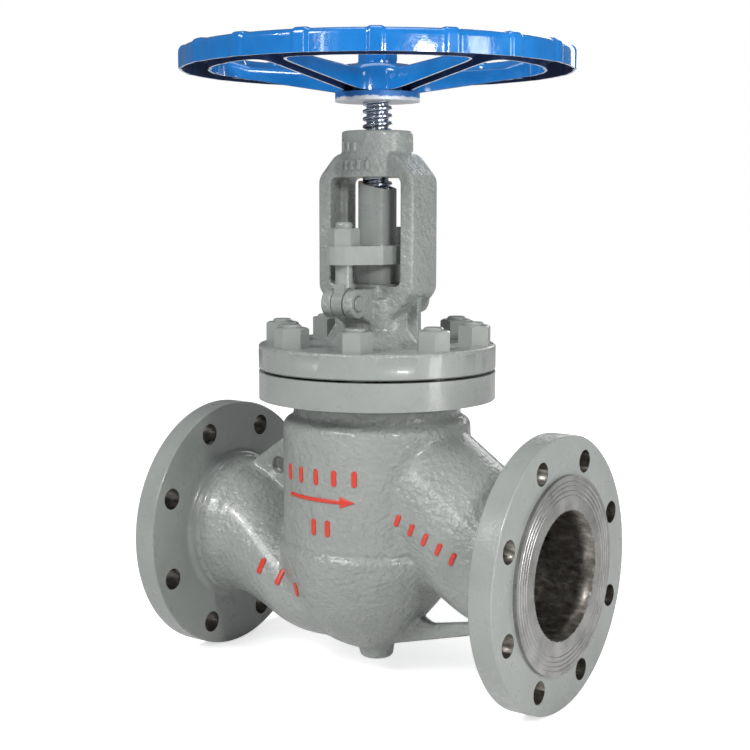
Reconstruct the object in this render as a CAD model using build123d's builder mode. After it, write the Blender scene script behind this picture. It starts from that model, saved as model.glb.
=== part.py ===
from build123d import *
import os
from math import cos, radians, sin

os.makedirs("parts", exist_ok=True)

# Flanged globe valve, DN 100 PN 16, with a rising, turning stem.  Millimetres.
# Origin: centre of the inlet flange's raised face.  +X is the flow, +Z is up the stem.

# --- pipe ends: flanges DN 100 PN 16 ----------------------------------------------------------
FACE_TO_FACE = 350.0
BORE_R = 50.0
FLANGE_R = 107.5
FLANGE_T = 20.0
FACE_R = 77.0
FACE_H = 3.0
BOLT_CIRCLE_R = 90.0
BOLT_HOLE_R = 9.0
BOLTS = 8
HALF_STEP = 180.0 / BOLTS
HUB_R = 62.0
HUB_L = 24.0
HUB_FILLET = 6.0
HUB_TAPER = 12.0
MOUTH_L = 14.0
MOUTH_CONE_L = 30.0
MOUTH_TAPER = 6.0
SPOT_FACE_DEPTH = 16.0

# --- body casting -----------------------------------------------------------------------------
STEM_X = FACE_TO_FACE / 2
WALL = 8.0
CHAMBER_R = 77.0
CHAMBER_Z0 = 6.5
CHAMBER_Z1 = 109.0
NECK_R = 68.5
NECK_BORE_R = 60.0
BODY_TOP = 146.6
COVER_R = 96.5
COVER_FLANGE_T = 22.2
BODY_EDGE = 7.0
TUBE_R = 55.0
TUBE_SLOPE = 0.693
TUBE_BEND_R = 80.0
BOWL_BOTTOM = -86.0
BRIDGE_TOP = 14.0
BRIDGE_BOTTOM = -4.0
DRAIN_R = 14.5
DRAIN_BOTTOM = -94.5
DRAIN_EDGE = 3.0
WEB_T = 10.0
WEB_X = 128.0
WEB_HOLE_R = 7.0

# --- seat and disc ----------------------------------------------------------------------------
SEAT_R = 58.0
SEAT_Z = 17.0
DISC_R = 57.0
DISC_TOP = 34.0
DISC_BOSS_R = 29.0
DISC_BOSS_TOP = 56.0
SEAT_RECESS = 8.0
DISC_CUP_R = 22.0
DISC_NUT_R = 26.0
DISC_NUT_RISE = 7.5

# --- stem -------------------------------------------------------------------------------------
STEM_R = 12.0
THREAD_R = 11.9
STEM_HEAD_R = 17.0
STEM_HEAD_Z = 36.0
STEM_HEAD_H = 10.0
HEAD_TOP = STEM_HEAD_Z + STEM_HEAD_H
BACKSEAT_R = 17.0
BACKSEAT_Z = 112.0
BACKSEAT_RISE = 5.0
THREAD_Z = 272.0
WHEEL_SEAT_Z = 362.0
WHEEL_SQUARE = 16.5
WHEEL_TOP_Z = 391.0
STEM_TOP = 411.0
WHEEL_THREAD_R = 9.0
FIT = 0.07

# --- bonnet and yoke --------------------------------------------------------------------------
GASKET_T = 1.8
BONNET_Z = BODY_TOP + GASKET_T
BONNET_FLANGE_T = 20.1
BONNET_FLANGE_TOP = BONNET_Z + BONNET_FLANGE_T
STUD_CIRCLE_R = 80.0
STUD_R = 8.0
STUD_HOLE_R = 9.0
STUD_DEPTH = 18.0
NUT_FLATS = 24.0
NUT_H = 16.0
STUD_PROUD = 2.5
BONNET_NECK_R = 31.0
YOKE_HALF_W = 46.0
YOKE_HALF_D = 18.5
WINDOW_HALF_W = 34.0
WINDOW_Z0 = 216.0
WINDOW_Z1 = 302.0
YOKE_TOP = 321.0
YOKE_FOOT = 196.0
YOKE_BOSS_R = 28.7
YOKE_BOSS_TOP = 339.0
STEM_NUT_R = 18.0
SHOULDER = 12.0
ARM_RIB_T = 4.5
ARM_RIB_H = 5.8
SCREW_Z = 330.0
SCREW_R = 3.0
SCREW_L = 9.0
BOX_R = 19.0
BOX_Z0 = 166.0
NECK_TOP = 206.0
NECK_FLARE = 16.0
NECK_RIB_T = 5.5
COLLAR_R = 26.0
SPIGOT_H = 9.0
SPIGOT_RELIEF_R = 36.0
BUSH_R = 20.0
BUSH_TOP = 158.0
STEM_CLEARANCE = 0.5

# --- gland ------------------------------------------------------------------------------------
PACKING_Z = 169.0
PACKING_H = 7.4
PACKING_RINGS = 5
GLAND_PLATE_Z = 233.7
GLAND_PLATE_T = 14.5
GLAND_LOBE_R = 13.7
GLAND_HALF_W = 27.4
GLAND_SHOULDER_Y = 31.5
SWING_Y = 46.0
PIN_Z = 203.0
EAR_R = 11.4
EAR_T = 9.0
EYE_T = 10.0
EYE_GAP = 0.8
PIN_R = 6.0
SWING_R = 6.8
SWING_TOP = 267.0
GLAND_NUT_FLATS = 22.0
GLAND_NUT_H = 14.0
SLEEVE_R = 15.5
SLEEVE_TOP = 300.0
SLEEVE_LOW = 292.0

# --- handwheel --------------------------------------------------------------------------------
WHEEL_R = 158.0
RIM_WIDTH = 24.0
RIM_ROUND = 9.0
RIM_BOTTOM = 386.0
RIM_TOP = 404.0
INNER_WALL_BOTTOM = 391.0
SHEET = 2.4
SQUARE_TOP = WHEEL_TOP_Z - SHEET
GRIPS = 18
GRIP_PHASE = -55.8
GRIP_ARC = 4.0
GRIP_PROUD = 1.0
SPOKES = 5
SPOKE_PHASE = -19.3
SPOKE_W = 24.0
SPOKE_H_INNER = 19.5
SPOKE_H_OUTER = 14.0
CUP_R = 31.0
HUB_DISC_R = 34.0
HUB_DISC_T = 7.0
HUB_BARREL_R = 20.0
WHEEL_WASHER_R = 16.0
WHEEL_WASHER_T = 2.5
WHEEL_NUT_FLATS = 27.0
WHEEL_NUT_H = 14.0

STEM_AXIS = Axis((STEM_X, 0, 0), (0, 0, 1))
STEM = Plane(origin=(STEM_X, 0, 0), x_dir=(1, 0, 0), z_dir=(0, 0, 1))
SIDE = Plane(origin=(STEM_X, 0, 0), x_dir=(1, 0, 0), z_dir=(0, -1, 0))
ACROSS = Plane(origin=(STEM_X, 0, 0), x_dir=(0, 1, 0), z_dir=(1, 0, 0))


def save(piece, name):
    """Label a finished piece and write it as its own STEP file."""
    piece.part.label = name
    export_step(piece.part, f"parts/{name}.step")


def radial_plane(angle):
    """Upright plane through the stem axis: local x runs outwards, local y runs up."""
    a = radians(angle)
    return Plane(origin=(STEM_X, 0, 0), x_dir=(cos(a), sin(a), 0), z_dir=(sin(a), -cos(a), 0))


def turned(outline, section=SIDE, arc=360.0):
    """Solid of revolution about the stem axis from a closed (radius, height) outline."""
    with BuildPart() as piece:
        with BuildSketch(section):
            with BuildLine():
                Polyline(*outline, close=True)
            make_face()
        revolve(axis=STEM_AXIS, revolution_arc=arc)
    return piece


def ring(inner_r, outer_r, z0, z1):
    """Plain ring about the stem axis."""
    return turned([(inner_r, z0), (outer_r, z0), (outer_r, z1), (inner_r, z1)])


def hex_nut(flats, height, hole_r):
    """Hexagon nut standing on its own XY plane, with the usual 30 degree corner chamfer."""
    corner_r = flats / 2 / cos(radians(30))
    drop = (corner_r - flats / 2 * 0.97) * 0.577
    with BuildPart() as nut:
        with BuildSketch():
            RegularPolygon(radius=flats / 2, side_count=6, major_radius=False, rotation=30)
        extrude(amount=height)
        with BuildSketch(Plane.XZ):
            with BuildLine():
                Polyline(
                    (0, 0), (corner_r, 0), (corner_r, height - drop),
                    (flats / 2 * 0.97, height), (0, height), close=True,
                )
            make_face()
        revolve(axis=Axis.Z, mode=Mode.INTERSECT)
        with BuildSketch():
            Circle(hole_r)
        extrude(amount=height, mode=Mode.SUBTRACT)
    return nut


# --- body -------------------------------------------------------------------------------------

# The passage bends from the pipe axis onto a slope that climbs through the chamber (outlet).
BEND_X = 126.7
OUTLET_PATH = [
    (STEM_X + 12, 0, TUBE_SLOPE * (BEND_X - 12)),
    (STEM_X + BEND_X, 0, 0),
    (FACE_TO_FACE - FACE_H - 2, 0, 0),
]
# Inlet passage: (x from the stem axis, half width, half height, centre height) of each section.
INLET_SECTIONS = [
    (-STEM_X + FACE_H + 2, 57.0, 57.0, 0.0),
    (-130.0, 56.0, 56.5, -1.5),
    (-100.0, 57.0, 53.0, -12.0),
    (-65.0, 62.0, 46.0, -31.0),
    (-25.0, 59.0, 38.0, -41.0),
    (5.0, 46.0, 30.0, -40.0),
]
# Bowl under the seat: (height, radius, shift along X) of each level section.
BOWL_SECTIONS = [
    (CHAMBER_Z0, 78.5, 0.0),
    (-20.0, 74.0, -4.0),
    (-45.0, 61.5, -10.0),
    (-64.0, 47.0, -12.0),
    (-78.0, 30.0, -10.0),
    (BOWL_BOTTOM, 13.0, 0.0),
]


def outlet_tube(radius):
    """Round tube of the given radius along the outlet path."""
    with BuildPart() as tube:
        with BuildLine():
            FilletPolyline(*OUTLET_PATH, radius=TUBE_BEND_R)
        with BuildSketch(Plane(origin=OUTLET_PATH[-1], z_dir=(-1, 0, 0))):
            Circle(radius)
        sweep()
    return tube


def inlet_tube(shrink):
    """Inlet passage lofted through its oval sections, each smaller by the wall."""
    with BuildPart() as tube:
        for x, half_w, half_h, centre in INLET_SECTIONS:
            with BuildSketch(Plane.YZ.offset(STEM_X + x)):
                with Locations((0, centre)):
                    Ellipse(half_w - shrink, half_h - shrink)
        loft()
    return tube


def bowl(shrink, top):
    """Bowl below the seat, lofted through its level sections up to the given height."""
    with BuildPart() as piece:
        for z, radius, shift in BOWL_SECTIONS:
            height = min(z + shrink, top) if z < 0 else top
            with BuildSketch(STEM.offset(height)):
                with Locations((shift, 0)):
                    Circle(radius - shrink)
        loft()
    return piece


def pipe_flange(face_x, direction):
    """Flange disc with its raised face and hub; direction points out of the valve."""
    back = face_x - direction * (FACE_H + FLANGE_T)
    with BuildPart() as flange:
        with BuildSketch(Plane(origin=(back, 0, 0), z_dir=(direction, 0, 0))):
            Circle(FLANGE_R)
        extrude(amount=FLANGE_T)
        chamfer(flange.edges().filter_by(GeomType.CIRCLE), length=1.0)
        with BuildSketch(Plane(origin=(face_x - direction * FACE_H, 0, 0), z_dir=(direction, 0, 0))):
            Circle(FACE_R)
        extrude(amount=FACE_H)
        with BuildSketch(Plane(origin=(back, 0, 0), z_dir=(-direction, 0, 0))):
            Circle(HUB_R)
        extrude(amount=HUB_L, taper=HUB_TAPER)
        root = flange.edges().filter_by(GeomType.CIRCLE).filter_by(lambda e: abs(e.radius - HUB_R) < 0.01)
        fillet(root, radius=HUB_FILLET)
    return flange


outlet_outside = outlet_tube(TUBE_R)
outlet_passage = outlet_tube(TUBE_R - WALL)
inlet_outside = inlet_tube(0.0)
inlet_passage = inlet_tube(WALL)
bowl_outside = bowl(0.0, CHAMBER_Z0)
bowl_inside = bowl(WALL, BRIDGE_BOTTOM)
inlet_flange = pipe_flange(0.0, -1)
outlet_flange = pipe_flange(FACE_TO_FACE, 1)

# The inlet passage stops under the bridge: nothing of it may open into the chamber above.
with BuildPart() as lower_cavity:
    add(inlet_passage.part)
    with BuildSketch(STEM.offset(BRIDGE_BOTTOM)):
        Circle(CHAMBER_R + 2)
    extrude(amount=CHAMBER_Z1, mode=Mode.SUBTRACT)
    add(bowl_inside.part)

# The outlet passage leaves the bridge and the bowl's wall standing below the chamber.
with BuildPart() as upper_cavity:
    add(outlet_passage.part)
    with BuildSketch(STEM.offset(BRIDGE_TOP)):
        Circle(CHAMBER_R)
    extrude(amount=CHAMBER_Z0 - BRIDGE_TOP, mode=Mode.SUBTRACT)
    add(bowl_outside.part, mode=Mode.SUBTRACT)
    with BuildSketch(STEM.offset(BRIDGE_TOP)):
        Circle(CHAMBER_R - WALL)
    extrude(amount=CHAMBER_Z1 - WALL - BRIDGE_TOP)
    with BuildSketch(STEM.offset(BRIDGE_TOP)):
        Circle(NECK_BORE_R)
    extrude(amount=BODY_TOP - BRIDGE_TOP)

with BuildPart() as body:
    with BuildSketch(STEM.offset(BRIDGE_BOTTOM)):
        Circle(CHAMBER_R)
    extrude(amount=CHAMBER_Z1 - BRIDGE_BOTTOM)
    fillet(body.edges().group_by(Axis.Z)[-1], radius=BODY_EDGE)
    with BuildSketch(STEM.offset(CHAMBER_Z1)):
        Circle(NECK_R)
    extrude(amount=BODY_TOP - CHAMBER_Z1)
    add(bowl_outside.part)
    add(outlet_outside.part)
    add(inlet_outside.part)
    with BuildSketch(STEM.offset(DRAIN_BOTTOM)):
        Circle(DRAIN_R)
    extrude(amount=BOWL_BOTTOM - DRAIN_BOTTOM + WALL)
    fillet(body.edges().group_by(Axis.Z)[0], radius=DRAIN_EDGE)
    # Stiffening webs: one over the inlet neck, one under the outlet neck with a hole through.
    with BuildSketch(SIDE):
        with BuildLine():
            Polyline((-WEB_X, 46), (-60, 8), (-60, 104), (-CHAMBER_R, 95), (-WEB_X, 60), close=True)
        make_face()
        with Locations((-100, 57)):
            Circle(WEB_HOLE_R, mode=Mode.SUBTRACT)
    extrude(amount=WEB_T / 2, both=True)
    with BuildSketch(SIDE):
        with BuildLine():
            Polyline((WEB_X, -52), (WEB_X, -43), (55, -57.5), (38, -50), (10, -83), close=True)
        make_face()
    extrude(amount=WEB_T / 2, both=True)
    add(inlet_flange.part)
    add(outlet_flange.part)
    with BuildSketch(STEM.offset(BODY_TOP - COVER_FLANGE_T)):
        Circle(COVER_R)
    extrude(amount=COVER_FLANGE_T)
    add(lower_cavity.part, mode=Mode.SUBTRACT)
    add(upper_cavity.part, mode=Mode.SUBTRACT)
    for face_x, direction in ((0.0, 1), (FACE_TO_FACE, -1)):
        with BuildSketch(Plane(origin=(face_x, 0, 0), z_dir=(direction, 0, 0))):
            Circle(BORE_R)
        extrude(amount=MOUTH_L, mode=Mode.SUBTRACT)
        with BuildSketch(Plane(origin=(face_x + MOUTH_L * direction, 0, 0), z_dir=(direction, 0, 0))):
            Circle(BORE_R)
        extrude(amount=MOUTH_CONE_L, taper=MOUTH_TAPER, mode=Mode.SUBTRACT)
        with BuildSketch(Plane(origin=(face_x, 0, 0), z_dir=(direction, 0, 0))):
            with PolarLocations(BOLT_CIRCLE_R, BOLTS, start_angle=HALF_STEP):
                Circle(BOLT_HOLE_R)
        extrude(amount=FACE_H + FLANGE_T + SPOT_FACE_DEPTH, mode=Mode.SUBTRACT)
    with BuildSketch(STEM.offset(BRIDGE_TOP)):
        Circle(SEAT_R)
    extrude(amount=-SEAT_RECESS, mode=Mode.SUBTRACT)
    with BuildSketch(STEM.offset(BRIDGE_TOP)):
        Circle(BORE_R)
    extrude(amount=BRIDGE_BOTTOM - BRIDGE_TOP - 1, mode=Mode.SUBTRACT)
    with BuildSketch(STEM.offset(BODY_TOP)):
        with PolarLocations(STUD_CIRCLE_R, BOLTS, start_angle=HALF_STEP):
            Circle(STUD_R + FIT)
    extrude(amount=-STUD_DEPTH, mode=Mode.SUBTRACT)
save(body, "body")


# --- bonnet with yoke -------------------------------------------------------------------------

def clevis(side):
    """Pair of ears on the yoke foot for a swing bolt; side is -1 at the front, 1 at the back."""
    half_w = EYE_T / 2 + EYE_GAP + EAR_T
    with BuildPart() as ears:
        with BuildSketch(ACROSS):
            with Locations((side * SWING_Y, PIN_Z)):
                Circle(EAR_R)
            with BuildLine():
                Polyline(
                    (side * SWING_Y, PIN_Z + EAR_R), (side * 14, PIN_Z + EAR_R), (side * 14, 182),
                    (side * 24, 184), (side * (SWING_Y - 5), PIN_Z - EAR_R + 1),
                    (side * SWING_Y, PIN_Z - EAR_R),
                    close=True,
                )
            make_face()
        extrude(amount=half_w, both=True)
        with BuildSketch(ACROSS):
            with Locations((side * (SWING_Y + 10), PIN_Z)):
                Rectangle(2 * (EAR_R + 11), 3 * EAR_R)
        extrude(amount=EYE_T / 2 + EYE_GAP, both=True, mode=Mode.SUBTRACT)
        with BuildSketch(ACROSS):
            with Locations((side * SWING_Y, PIN_Z)):
                Circle(PIN_R)
        extrude(amount=half_w, both=True, mode=Mode.SUBTRACT)
    return ears


def yoke_frame():
    """Flat frame of the two arms and the crosshead, with the window cut through."""
    foot_w = YOKE_HALF_W / 2
    with BuildPart() as frame:
        with BuildSketch(SIDE):
            with BuildLine():
                Polyline(
                    (-foot_w, YOKE_FOOT - 10), (-YOKE_HALF_W, WINDOW_Z0 - 4), (-YOKE_HALF_W, WINDOW_Z1),
                    (-YOKE_BOSS_R, YOKE_TOP), (YOKE_BOSS_R, YOKE_TOP), (YOKE_HALF_W, WINDOW_Z1),
                    (YOKE_HALF_W, WINDOW_Z0 - 4), (foot_w, YOKE_FOOT - 10), close=True,
                )
            outline = make_face()
            fillet(outline.vertices(), radius=SHOULDER)
        extrude(amount=YOKE_HALF_D, both=True)
        fillet(frame.edges().filter_by(GeomType.CIRCLE, reverse=True), radius=2)
    return frame


def window(half_w, z0, z1, corner, depth):
    """Rounded rectangular prism through the yoke along Y."""
    with BuildPart() as opening:
        with BuildSketch(SIDE):
            with Locations((0, (z0 + z1) / 2)):
                RectangleRounded(2 * half_w, z1 - z0, corner)
        extrude(amount=depth, both=True)
    return opening


yoke = yoke_frame()
yoke_window = window(WINDOW_HALF_W, WINDOW_Z0, WINDOW_Z1, 5, YOKE_HALF_D + 30)
front_clevis = clevis(-1)
back_clevis = clevis(1)

with BuildPart() as bonnet:
    with BuildSketch(STEM.offset(BONNET_Z)):
        Circle(COVER_R)
    extrude(amount=BONNET_FLANGE_T)
    chamfer(bonnet.edges(), length=1.2)
    with BuildSketch(SIDE):
        with BuildLine():
            foot = Line((0, BONNET_FLANGE_TOP), (BONNET_NECK_R + NECK_FLARE - 1, BONNET_FLANGE_TOP))
            flare = RadiusArc(foot @ 1, (BONNET_NECK_R, BONNET_FLANGE_TOP + NECK_FLARE), NECK_FLARE + 1)
            Polyline(flare @ 1, (BONNET_NECK_R, NECK_TOP), (0, NECK_TOP), (0, BONNET_FLANGE_TOP))
        make_face()
    revolve(axis=STEM_AXIS)
    with BuildSketch(SIDE):
        for side in (-1, 1):
            with BuildLine():
                Polyline(
                    (side * BUSH_R, BONNET_FLANGE_TOP - 1), (side * 52, BONNET_FLANGE_TOP - 1),
                    (side * 41, BONNET_FLANGE_TOP + 14), (side * 41, NECK_TOP),
                    (side * BUSH_R, NECK_TOP), close=True,
                )
            make_face()
    extrude(amount=NECK_RIB_T / 2, both=True)
    add(yoke.part)
    add(yoke_window.part, mode=Mode.SUBTRACT)
    add(front_clevis.part)
    add(back_clevis.part)
    with BuildSketch(SIDE):
        for side in (-1, 1):
            with Locations((side * (WINDOW_HALF_W - ARM_RIB_H / 2 + 1), (WINDOW_Z0 + WINDOW_Z1) / 2)):
                Rectangle(ARM_RIB_H + 2, WINDOW_Z1 - WINDOW_Z0 + 4)
    extrude(amount=ARM_RIB_T / 2, both=True)
    with BuildSketch(STEM.offset(WINDOW_Z1)):
        Circle(YOKE_BOSS_R)
    extrude(amount=YOKE_BOSS_TOP - WINDOW_Z1)
    fillet(bonnet.edges().group_by(Axis.Z)[-1], radius=2)
    with BuildSketch(STEM.offset(YOKE_FOOT)):
        Circle(COLLAR_R)
    extrude(amount=WINDOW_Z0 + 1.5 - YOKE_FOOT)
    # Spigot into the body neck, then the bores along the stem.
    with BuildSketch(STEM.offset(BONNET_Z)):
        Circle(NECK_BORE_R - 0.2)
    extrude(amount=-SPIGOT_H)
    with BuildSketch(STEM.offset(BONNET_Z - SPIGOT_H)):
        Circle(SPIGOT_RELIEF_R)
    extrude(amount=SPIGOT_H - 5, mode=Mode.SUBTRACT)
    with BuildSketch(STEM.offset(BONNET_Z - SPIGOT_H)):
        Circle(BUSH_R)
    extrude(amount=BUSH_TOP - BONNET_Z + SPIGOT_H, mode=Mode.SUBTRACT)
    with BuildSketch(STEM.offset(BUSH_TOP)):
        Circle(STEM_R + STEM_CLEARANCE)
    extrude(amount=BOX_Z0 - BUSH_TOP, mode=Mode.SUBTRACT)
    with BuildSketch(STEM.offset(BOX_Z0)):
        Circle(BOX_R)
    extrude(amount=WINDOW_Z0 + 4 - BOX_Z0, mode=Mode.SUBTRACT)
    with BuildSketch(STEM.offset(WINDOW_Z1 - 1)):
        Circle(STEM_NUT_R)
    extrude(amount=YOKE_BOSS_TOP - WINDOW_Z1 + 2, mode=Mode.SUBTRACT)
    with BuildSketch(STEM.offset(BONNET_Z)):
        with PolarLocations(STUD_CIRCLE_R, BOLTS, start_angle=HALF_STEP):
            Circle(STUD_HOLE_R)
    extrude(amount=BONNET_FLANGE_T, mode=Mode.SUBTRACT)
    with BuildSketch(Plane(origin=(STEM_X, 0, SCREW_Z), z_dir=(0, 1, 0))):
        Circle(SCREW_R)
    extrude(amount=YOKE_BOSS_R + 1, mode=Mode.SUBTRACT)
save(bonnet, "bonnet")

gasket = ring(NECK_BORE_R + 1, STUD_CIRCLE_R - STUD_HOLE_R - 1, BODY_TOP, BONNET_Z)
save(gasket, "bonnet_gasket")

# --- studs and nuts of the bonnet joint -------------------------------------------------------

stud_top = BONNET_FLANGE_TOP + NUT_H + STUD_PROUD
with BuildPart() as bonnet_studs:
    with BuildSketch(STEM.offset(BODY_TOP - STUD_DEPTH + 1)):
        with PolarLocations(STUD_CIRCLE_R, BOLTS, start_angle=HALF_STEP):
            Circle(STUD_R)
    extrude(amount=stud_top - BODY_TOP + STUD_DEPTH - 1)
    chamfer(bonnet_studs.edges().group_by(Axis.Z)[-1], length=1.2)
save(bonnet_studs, "bonnet_studs")

cover_nut = hex_nut(NUT_FLATS, NUT_H, STUD_R + FIT)
with BuildPart(STEM.offset(BONNET_FLANGE_TOP)) as bonnet_nuts:
    with PolarLocations(STUD_CIRCLE_R, BOLTS, start_angle=HALF_STEP):
        add(cover_nut.part)
save(bonnet_nuts, "bonnet_nuts")

# --- seat, disc and stem ----------------------------------------------------------------------

seat_ring = turned([
    (BORE_R, BRIDGE_TOP - 8), (SEAT_R, BRIDGE_TOP - 8), (SEAT_R, BRIDGE_TOP),
    (SEAT_R - 2, SEAT_Z), (BORE_R + 3, SEAT_Z), (BORE_R, SEAT_Z - 3),
])
save(seat_ring, "seat_ring")

disc = turned([
    (0, SEAT_Z - 4), (BORE_R - 1.5, SEAT_Z - 4), (BORE_R - 0.6, SEAT_Z - 2.4), (BORE_R + 3, SEAT_Z),
    (DISC_R, SEAT_Z), (DISC_R, DISC_TOP - 6), (DISC_R - 6, DISC_TOP), (DISC_BOSS_R, DISC_TOP + 4),
    (DISC_BOSS_R, DISC_BOSS_TOP), (DISC_CUP_R, DISC_BOSS_TOP), (DISC_CUP_R, HEAD_TOP),
    (STEM_HEAD_R + STEM_CLEARANCE, HEAD_TOP), (STEM_HEAD_R + STEM_CLEARANCE, STEM_HEAD_Z - 2),
    (6, STEM_HEAD_Z - 2), (0, STEM_HEAD_Z - 4),
])
save(disc, "disc")

disc_nut = turned([
    (STEM_R + STEM_CLEARANCE, HEAD_TOP + 0.1), (DISC_CUP_R - FIT, HEAD_TOP + 0.1),
    (DISC_CUP_R - FIT, DISC_BOSS_TOP + 0.2), (DISC_NUT_R, DISC_BOSS_TOP + 0.2),
    (DISC_NUT_R, DISC_BOSS_TOP + DISC_NUT_RISE - 1.5), (DISC_NUT_R - 1.5, DISC_BOSS_TOP + DISC_NUT_RISE),
    (STEM_R + STEM_CLEARANCE, DISC_BOSS_TOP + DISC_NUT_RISE),
])
save(disc_nut, "disc_nut")

with BuildPart() as stem:
    with BuildSketch(SIDE):
        with BuildLine():
            Polyline(
                (0, STEM_HEAD_Z - 1.9), (9, STEM_HEAD_Z), (STEM_HEAD_R, STEM_HEAD_Z),
                (STEM_HEAD_R, HEAD_TOP), (STEM_R, HEAD_TOP),
                (STEM_R, BACKSEAT_Z - 12), (BACKSEAT_R, BACKSEAT_Z - 7), (BACKSEAT_R, BACKSEAT_Z),
                (STEM_R, BACKSEAT_Z + BACKSEAT_RISE), (STEM_R, THREAD_Z), (THREAD_R, THREAD_Z + 0.1),
                (THREAD_R, SQUARE_TOP), (WHEEL_THREAD_R, SQUARE_TOP), (WHEEL_THREAD_R, STEM_TOP - 1.5),
                (WHEEL_THREAD_R - 1.5, STEM_TOP), (0, STEM_TOP), close=True,
            )
        make_face()
    revolve(axis=STEM_AXIS)
    with BuildSketch(STEM.offset(WHEEL_SEAT_Z)):
        Circle(THREAD_R + 1)
        Rectangle(WHEEL_SQUARE, WHEEL_SQUARE, mode=Mode.SUBTRACT)
    extrude(amount=SQUARE_TOP - WHEEL_SEAT_Z, mode=Mode.SUBTRACT)
save(stem, "stem")

backseat_bush = turned([
    (BACKSEAT_R + 0.3, BONNET_Z - SPIGOT_H), (BUSH_R, BONNET_Z - SPIGOT_H), (BUSH_R, BUSH_TOP),
    (STEM_R + FIT, BUSH_TOP), (STEM_R + FIT, BONNET_Z - SPIGOT_H + BACKSEAT_RISE + 0.3),
])
save(backseat_bush, "backseat_bush")

# --- packing and gland ------------------------------------------------------------------------

save(ring(STEM_R + FIT, BOX_R, BOX_Z0, PACKING_Z), "packing_washer")
for i in range(PACKING_RINGS):
    z = PACKING_Z + i * PACKING_H
    save(ring(STEM_R + FIT, BOX_R, z, z + PACKING_H), f"packing_ring_{i + 1}")

packing_top = PACKING_Z + PACKING_RINGS * PACKING_H
save(ring(STEM_R + FIT, BOX_R - FIT, packing_top, GLAND_PLATE_Z), "gland_bush")

with BuildPart() as gland_plate:
    with BuildSketch(STEM.offset(GLAND_PLATE_Z)):
        with Locations((0, SWING_Y), (0, -SWING_Y)):
            Circle(GLAND_LOBE_R)
        Rectangle(2 * GLAND_HALF_W, 2 * GLAND_SHOULDER_Y)
        make_hull()
        with Locations((0, SWING_Y), (0, -SWING_Y)):
            Circle(SWING_R + 0.8, mode=Mode.SUBTRACT)
        Circle(STEM_R + STEM_CLEARANCE, mode=Mode.SUBTRACT)
    extrude(amount=GLAND_PLATE_T)
save(gland_plate, "gland_plate")

with BuildPart() as stem_sleeve:
    with BuildSketch(STEM.offset(GLAND_PLATE_Z + GLAND_PLATE_T)):
        Circle(SLEEVE_R)
        Circle(STEM_R + STEM_CLEARANCE, mode=Mode.SUBTRACT)
    extrude(amount=SLEEVE_TOP - GLAND_PLATE_Z - GLAND_PLATE_T)
    with BuildSketch(SIDE):
        with BuildLine():
            Polyline(
                (-SLEEVE_R - 1, SLEEVE_TOP + 1), (-SLEEVE_R - 1, SLEEVE_TOP),
                (SLEEVE_R + 1, SLEEVE_LOW), (SLEEVE_R + 1, SLEEVE_TOP + 1), close=True,
            )
        make_face()
    extrude(amount=SLEEVE_R + 1, both=True, mode=Mode.SUBTRACT)
save(stem_sleeve, "stem_sleeve")

gland_nut = hex_nut(GLAND_NUT_FLATS, GLAND_NUT_H, SWING_R + FIT)
for side, place in ((-1, "front"), (1, "back")):
    y = side * SWING_Y
    with BuildPart() as swing_bolt:
        with BuildSketch(ACROSS):
            with Locations((y, PIN_Z)):
                Circle(EAR_R - 0.4)
            with Locations((y, PIN_Z + EAR_R / 2 + 2)):
                Rectangle(2 * SWING_R, EAR_R + 4)
        extrude(amount=EYE_T / 2, both=True)
        with BuildSketch(STEM.offset(PIN_Z + EAR_R + 1)):
            with Locations((0, y)):
                Circle(SWING_R)
        extrude(amount=SWING_TOP - PIN_Z - EAR_R - 1)
        fillet(swing_bolt.edges().group_by(Axis.Z)[-1], radius=2.5)
        with BuildSketch(ACROSS):
            with Locations((y, PIN_Z)):
                Circle(PIN_R)
        extrude(amount=EAR_R, both=True, mode=Mode.SUBTRACT)
    save(swing_bolt, f"swing_bolt_{place}")
    with BuildPart() as swing_pin:
        with BuildSketch(ACROSS):
            with Locations((y, PIN_Z)):
                Circle(PIN_R - FIT)
        extrude(amount=EYE_T / 2 + EYE_GAP + EAR_T + 0.6, both=True)
        chamfer(swing_pin.edges(), length=0.8)
    save(swing_pin, f"swing_pin_{place}")
    with BuildPart(STEM.offset(GLAND_PLATE_Z + GLAND_PLATE_T)) as nut:
        with Locations((0, y)):
            add(gland_nut.part)
    save(nut, f"gland_nut_{place}")

# --- stem nut in the yoke head ----------------------------------------------------------------

stem_nut = turned([
    (THREAD_R + FIT, WINDOW_Z1), (STEM_NUT_R, WINDOW_Z1), (STEM_NUT_R, YOKE_BOSS_TOP),
    (THREAD_R + FIT, YOKE_BOSS_TOP),
])
save(stem_nut, "stem_nut")

with BuildPart() as stem_nut_screw:
    with BuildSketch(Plane(origin=(STEM_X, STEM_NUT_R + 0.3, SCREW_Z), z_dir=(0, 1, 0))):
        Circle(SCREW_R - FIT)
    extrude(amount=SCREW_L)
save(stem_nut_screw, "stem_nut_screw")

# --- handwheel --------------------------------------------------------------------------------

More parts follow.
